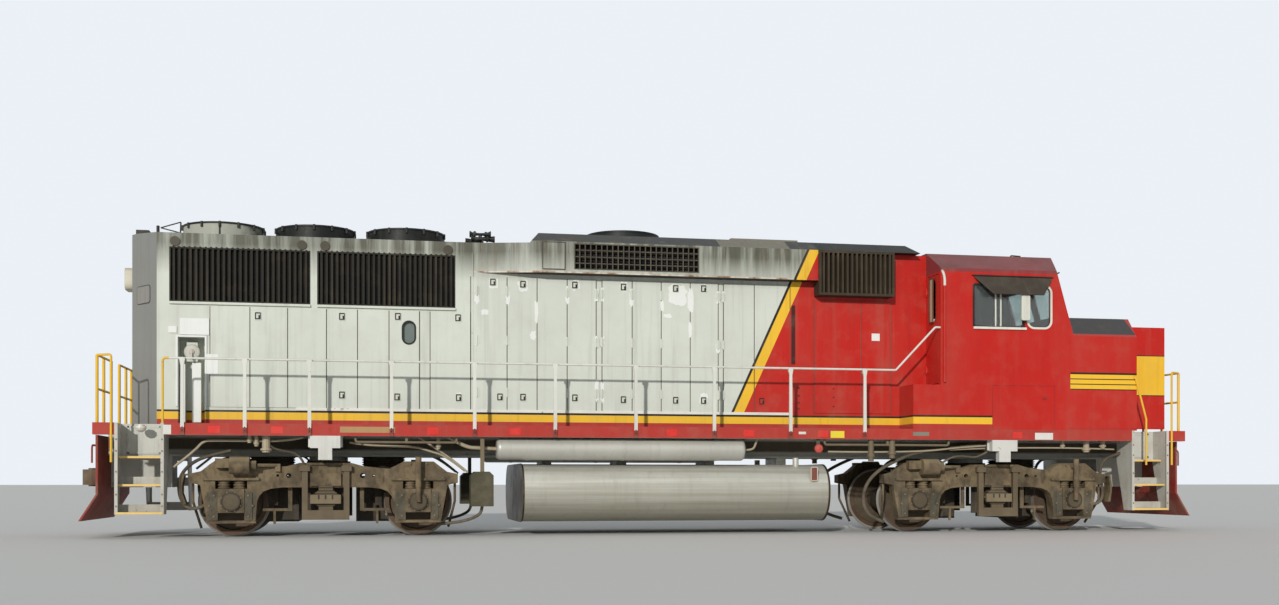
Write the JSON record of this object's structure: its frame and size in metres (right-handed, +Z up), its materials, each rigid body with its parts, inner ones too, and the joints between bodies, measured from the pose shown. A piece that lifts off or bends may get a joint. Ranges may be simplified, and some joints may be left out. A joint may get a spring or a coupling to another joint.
{
  "type": "diesel locomotive",
  "caption": "Wide-cab diesel road locomotive on two four-wheel trucks, with side walkways, roof fans, a hooded engine room and an open nose door.",
  "frame": {"origin": "middle of the vehicle at the bottom of the wheel flanges, 28 mm under the rail top", "axes": "+X forwards to the cab and nose, +Y to the left-hand side, +Z up"},
  "size_m": [18.21, 3.364, 4.8979],
  "materials": {
    "sill_red": "weathered red paint",
    "body_red": "semi-gloss red paint",
    "hood_silver": "faded silver paint",
    "tank_silver": "dusty silver paint",
    "step_white": "worn white paint",
    "rail_white": "worn white paint",
    "rail_yellow": "worn yellow paint",
    "grille_dark": "sooty dark paint",
    "core_black": "matt black",
    "fan_dark": "sooty dark paint",
    "roof_dark": "sooty dark paint",
    "horn_black": "matt black",
    "engine_grey": "oily grey paint",
    "awning_grey": "matt dark grey",
    "window_glass": "tinted safety glass",
    "cab_trim": "matt dark trim",
    "lamp_white": "dusty white paint",
    "coupler_rust": "rusty cast steel",
    "gear_brown": "dusty piping and valves",
    "truck_brown": "brake-dusted cast steel",
    "motor_black": "oily dark steel",
    "wheel_steel": "rusty wheel with a bright tread"
  },
  "bodies": {
    "root": {"underframe": "sill_red", "pilots": "sill_red", "steps": "step_white", "handrails": "rail_white", "end_rails": "rail_yellow", "fuel_tank": "tank_silver", "air_reservoirs": "tank_silver", "sill_gear": "gear_brown", "engine_block": "engine_grey", "hood_rear": "hood_silver", "hood_middle": "hood_silver", "hood_front": "body_red", "hood_doors": "hood_silver", "radiator_grilles": "grille_dark", "radiator_cores": "core_black", "fan_cowls": "fan_dark", "brake_fan_cowl": "roof_dark", "brake_housing": "hood_silver", "brake_grilles": "grille_dark", "filter_grilles": "grille_dark", "air_roof": "roof_dark", "roof_hatch": "hood_silver", "horn": "horn_black", "cab_side_right": "body_red", "cab_side_left": "body_red", "cab_roof": "body_red", "cab_rear": "body_red", "cab_front": "body_red", "cab_base": "body_red", "cab_windows": "window_glass", "cab_interior": "cab_trim", "window_awnings": "awning_grey", "nose": "body_red", "headlights": "lamp_white"},
    "nose_door": {"nose_door": "body_red"},
    "cab_door_right": {"cab_door_right": "body_red"},
    "cab_door_left": {"cab_door_left": "body_red"},
    "coupler_front": {"coupler_front": "coupler_rust"},
    "coupler_rear": {"coupler_rear": "coupler_rust"},
    "fan_1": {"fan_rotor_1": "fan_dark"},
    "fan_2": {"fan_rotor_2": "fan_dark"},
    "fan_3": {"fan_rotor_3": "fan_dark"},
    "brake_fan": {"brake_fan_rotor": "fan_dark"},
    "truck_rear": {"truck_rear_side_frames": "truck_brown", "truck_rear_bolster": "truck_brown", "truck_rear_journals": "truck_brown", "truck_rear_motors": "motor_black", "truck_rear_brakes": "truck_brown", "truck_rear_springs": "truck_brown"},
    "truck_front": {"truck_front_side_frames": "truck_brown", "truck_front_bolster": "truck_brown", "truck_front_journals": "truck_brown", "truck_front_motors": "motor_black", "truck_front_brakes": "truck_brown", "truck_front_springs": "truck_brown"},
    "wheelset_1": {"wheelset_1": "wheel_steel"},
    "wheelset_2": {"wheelset_2": "wheel_steel"},
    "wheelset_3": {"wheelset_3": "wheel_steel"},
    "wheelset_4": {"wheelset_4": "wheel_steel"}
  },
  "joints": [
    {"name": "truck_rear_swivel", "type": "hinge", "parent": "root", "child": "truck_rear", "pos_m": [-5.42, 0, 1.158], "axis": [0, 0, 1], "range_deg": [-5, 5]},
    {"name": "truck_front_swivel", "type": "hinge", "parent": "root", "child": "truck_front", "pos_m": [5.42, 0, 1.158], "axis": [0, 0, 1], "range_deg": [-5, 5]},
    {"name": "wheelset_1_roll", "type": "hinge", "parent": "truck_rear", "child": "wheelset_1", "pos_m": [-6.7915, 0, 0.536], "axis": [0, 1, 0], "continuous": true},
    {"name": "wheelset_2_roll", "type": "hinge", "parent": "truck_rear", "child": "wheelset_2", "pos_m": [-4.0485, 0, 0.536], "axis": [0, 1, 0], "continuous": true},
    {"name": "wheelset_3_roll", "type": "hinge", "parent": "truck_front", "child": "wheelset_3", "pos_m": [4.0485, 0, 0.536], "axis": [0, 1, 0], "continuous": true},
    {"name": "wheelset_4_roll", "type": "hinge", "parent": "truck_front", "child": "wheelset_4", "pos_m": [6.7915, 0, 0.536], "axis": [0, 1, 0], "continuous": true},
    {"name": "fan_1_spin", "type": "hinge", "parent": "root", "child": "fan_1", "pos_m": [-7.02, 0, 4.633], "axis": [0, 0, 1], "continuous": true},
    {"name": "fan_2_spin", "type": "hinge", "parent": "root", "child": "fan_2", "pos_m": [-5.62, 0, 4.633], "axis": [0, 0, 1], "continuous": true},
    {"name": "fan_3_spin", "type": "hinge", "parent": "root", "child": "fan_3", "pos_m": [-4.21, 0, 4.633], "axis": [0, 0, 1], "continuous": true},
    {"name": "brake_fan_spin", "type": "hinge", "parent": "root", "child": "brake_fan", "pos_m": [-0.67, 0, 4.713], "axis": [0, 0, 1], "continuous": true},
    {"name": "nose_door_swing", "type": "hinge", "parent": "root", "child": "nose_door", "pos_m": [7.902, -1.132, 2.593], "axis": [0, 0, 1], "range_deg": [0, 90]},
    {"name": "cab_door_right_swing", "type": "hinge", "parent": "root", "child": "cab_door_right", "pos_m": [4.282, -0.985, 3.323], "axis": [0, 0, -1], "range_deg": [0, 90]},
    {"name": "cab_door_left_swing", "type": "hinge", "parent": "root", "child": "cab_door_left", "pos_m": [4.282, 0.985, 3.323], "axis": [0, 0, 1], "range_deg": [0, 90]},
    {"name": "coupler_front_swing", "type": "hinge", "parent": "root", "child": "coupler_front", "pos_m": [7.95, 0, 0.904], "axis": [0, 0, 1], "range_deg": [-7, 7]},
    {"name": "coupler_rear_swing", "type": "hinge", "parent": "root", "child": "coupler_rear", "pos_m": [-7.95, 0, 0.904], "axis": [0, 0, 1], "range_deg": [-7, 7]}
  ]
}
